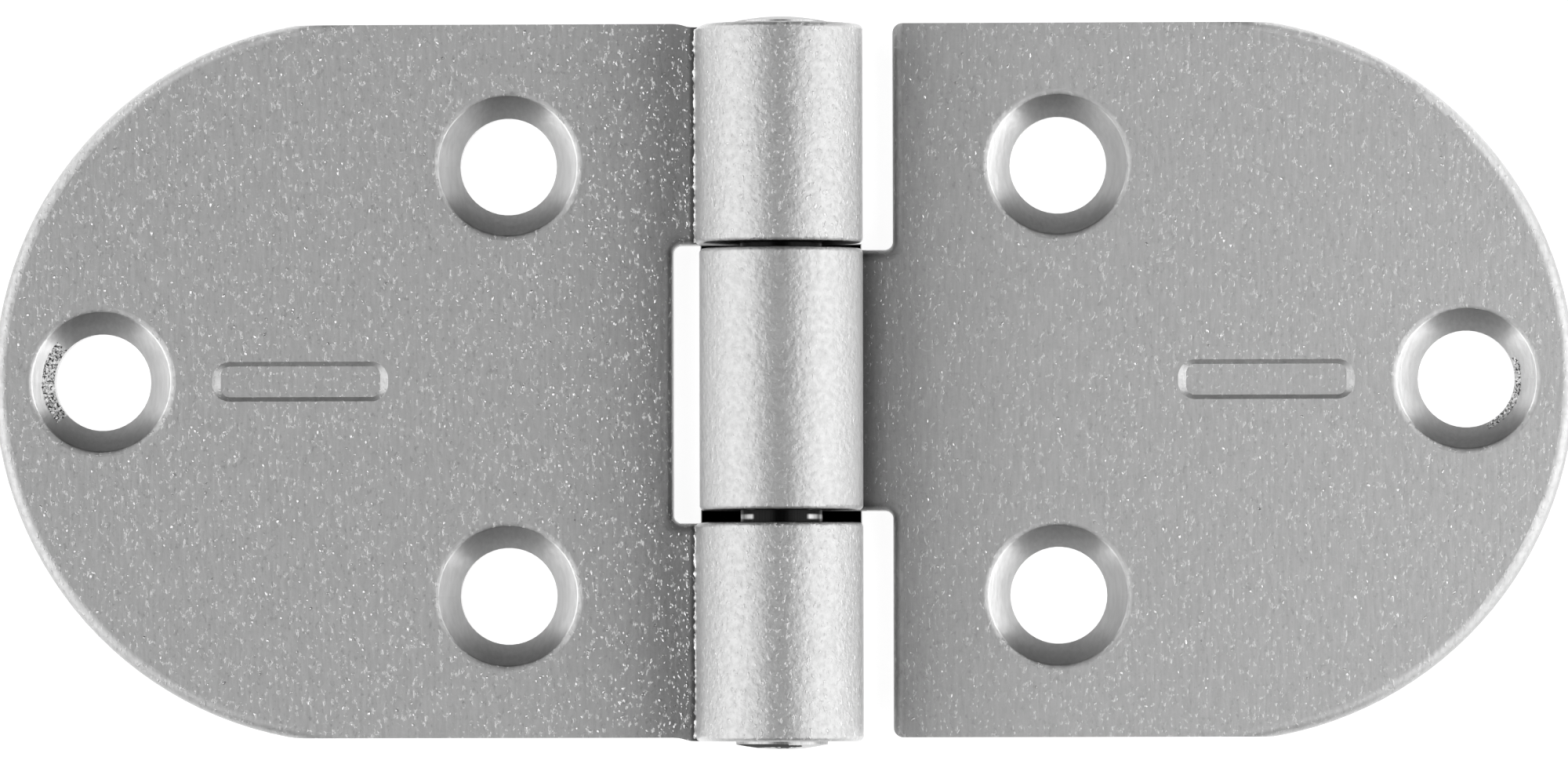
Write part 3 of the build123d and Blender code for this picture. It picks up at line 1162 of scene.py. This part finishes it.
@dataclass
class Studio:
    """Light tent: pale floor, white walls that darken towards the pin's ends, two lamps on each side."""

    floor_size: float = 8.0
    floor_drop: float = 0.02 * MM
    floor_tone: float = 0.8
    floor_glow: float = 0.9
    floor_shade: float = 0.3
    barrel_middle: float = -0.14 * MM
    barrel_half: float = 4.0 * MM
    barrel_end: float = 17.2 * MM
    barrel_blend: float = 0.1 * MM
    barrel_shade: float = 2.8 * MM
    gaps: tuple[tuple[float, float], ...] = ((HIGH_GAP, 0.16 * MM), (LOW_GAP, 0.33 * MM))
    gap_blend: float = 0.1 * MM
    tent_tone: float = 0.255
    end_tone: float = 0.03
    end_start: float = 0.2
    end_full: float = 0.7
    lamps: tuple[SoftLamp, ...] = (
        SoftLamp("left_lamp", side=-1, distance=500 * MM, radiance=1.95),
        SoftLamp("right_lamp", side=1, distance=175 * MM, radiance=2.15),
        SoftLamp("left_low_lamp", side=-1, distance=520 * MM, radiance=0.4, elevation=9.0, half_height=10.0),
        SoftLamp("right_low_lamp", side=1, distance=220 * MM, radiance=0.4, elevation=9.0, half_height=10.0),
    )

    def build(self) -> None:
        """Make the world, the floor and the lamps."""
        self.tent()
        self.floor()
        for lamp in self.lamps:
            lamp.build()

    def tent(self) -> None:
        """Fill the world with soft white light that falls off towards +Y and -Y."""
        world = bpy.data.worlds.new("light_tent")
        world.use_nodes = True
        bpy.context.scene.world = world
        graph = NodeGraph(world.node_tree)
        direction = graph.node("ShaderNodeTexCoord").outputs["Generated"]
        parts = graph.node("ShaderNodeSeparateXYZ", {0: direction})
        along_pin = graph.math("ABSOLUTE", parts.outputs[1])
        tone = graph.ramp(along_pin, self.end_start, self.end_full, self.tent_tone, self.end_tone)
        light = graph.node("ShaderNodeBackground", {"Color": graph.grey(tone), "Strength": 1.0})
        graph.node("ShaderNodeOutputWorld", {"Surface": light.outputs[0]})

    def floor(self) -> None:
        """Lay the floor just under the hinge's back."""
        deselect()
        bpy.ops.mesh.primitive_plane_add(size=self.floor_size, location=(0, 0, -self.floor_drop))
        floor = bpy.context.object
        floor.name = "floor"
        floor.data.materials.append(self.floor_material())

    def floor_material(self) -> bpy.types.Material:
        """Pale floor that looks white to the eye and in reflections, and still takes a shadow.

        Painted shadow darkens it under the knuckles, and painted black strips lie under the gaps between
        them.

        Returns:
            The floor's material.
        """
        material, graph = new_material("pale_floor")
        place = graph.node("ShaderNodeTexCoord").outputs["Object"]
        parts = graph.node("ShaderNodeSeparateXYZ", {0: place}).outputs
        # Painted shadow: the floor's glow and shade fade under the knuckles, with painted black strips under
        # the gaps between them.
        across = graph.away(parts[0], self.barrel_middle)
        along = graph.math("ABSOLUTE", parts[1])
        beside = graph.ramp(across, self.barrel_half - self.barrel_shade, self.barrel_half, 0.0, 1.0)
        sharp = graph.ramp(across, self.barrel_half - self.barrel_blend, self.barrel_half, 0.0, 1.0)
        for centre, half in self.gaps:
            away = graph.away(parts[1], centre)
            aside = graph.ramp(away, half, half + self.gap_blend, 0.0, 1.0)
            beside = graph.math("MINIMUM", beside, graph.math("MAXIMUM", sharp, aside))
        beyond = graph.ramp(along, self.barrel_end - self.barrel_shade, self.barrel_end, 0.0, 1.0)
        clear = graph.math("MAXIMUM", beside, beyond)
        glow_tone = graph.math("MULTIPLY", clear, self.floor_glow)
        rays = graph.node("ShaderNodeLightPath").outputs
        seen = graph.math("MAXIMUM", rays["Is Camera Ray"], rays["Is Glossy Ray"])
        seen = graph.math("MAXIMUM", seen, rays["Is Transmission Ray"])
        shade_tone = graph.grey(graph.math("MULTIPLY", clear, self.floor_shade))
        lit_tone = (self.floor_tone,) * 3 + (1.0,)
        shade = graph.node("ShaderNodeBsdfDiffuse", {"Color": shade_tone})
        glow = graph.node("ShaderNodeEmission", {"Color": graph.grey(glow_tone), "Strength": 1.0})
        shown = graph.node("ShaderNodeAddShader", {0: shade.outputs[0], 1: glow.outputs[0]})
        plain = graph.node("ShaderNodeBsdfDiffuse", {"Color": lit_tone})
        mixed = graph.node("ShaderNodeMixShader", {0: seen, 1: plain.outputs[0], 2: shown.outputs[0]})
        graph.node("ShaderNodeOutputMaterial", {"Surface": mixed.outputs[0]})
        return material


@dataclass(frozen=True)
class PhotoCamera:
    """Long-lens camera that looks down on the hinge, a little from +X and -Y."""

    aim: tuple[float, float, float] = (0.068 * MM, -0.181 * MM, 2.0 * MM)
    distance: float = 600 * MM
    turns: tuple[float, float, float] = (1.376, 1.919, -0.112)
    picture_width: float = 2000.0
    pixels_per_mm: float = 26.015
    sensor: float = 36.0

    def build(self) -> None:
        """Make the camera and set it as the scene's own."""
        data = bpy.data.cameras.new("photo_camera")
        data.sensor_fit = "HORIZONTAL"
        data.sensor_width = self.sensor
        focal_pixels = self.pixels_per_mm * self.distance / MM
        data.lens = focal_pixels * self.sensor / self.picture_width
        camera = bpy.data.objects.new("photo_camera", data)
        turn = Euler([math.radians(angle) for angle in self.turns])
        camera.rotation_euler = turn
        camera.location = Vector(self.aim) + turn.to_matrix() @ Vector((0, 0, self.distance))
        bpy.context.scene.collection.objects.link(camera)
        bpy.context.scene.camera = camera


def main() -> None:
    """Dress the hinge and set up the studio and the camera."""
    logging.basicConfig(level=logging.INFO, format="%(name)s: %(message)s")
    bpy.context.scene.view_settings.view_transform = "Standard"
    finishes = Finishes(
        lacquer=SilverLacquer().material(),
        # The nibs' lighter tone is a painted highlight.
        raised=raised_lacquer("raised_lacquer", NIB_HIGHLIGHT_TONE).material(),
        bead=raised_lacquer("bead_lacquer", BEAD_TONE).material(),
        torn=TornLacquer().material(),
        steel=DrawnSteel().material(),
    )
    two_knuckle_leaf().build(finishes)
    one_knuckle_leaf().build(finishes)
    Pin().dress(finishes.steel)
    Studio().build()
    PhotoCamera().build()


if __name__ == "__main__":
    main()
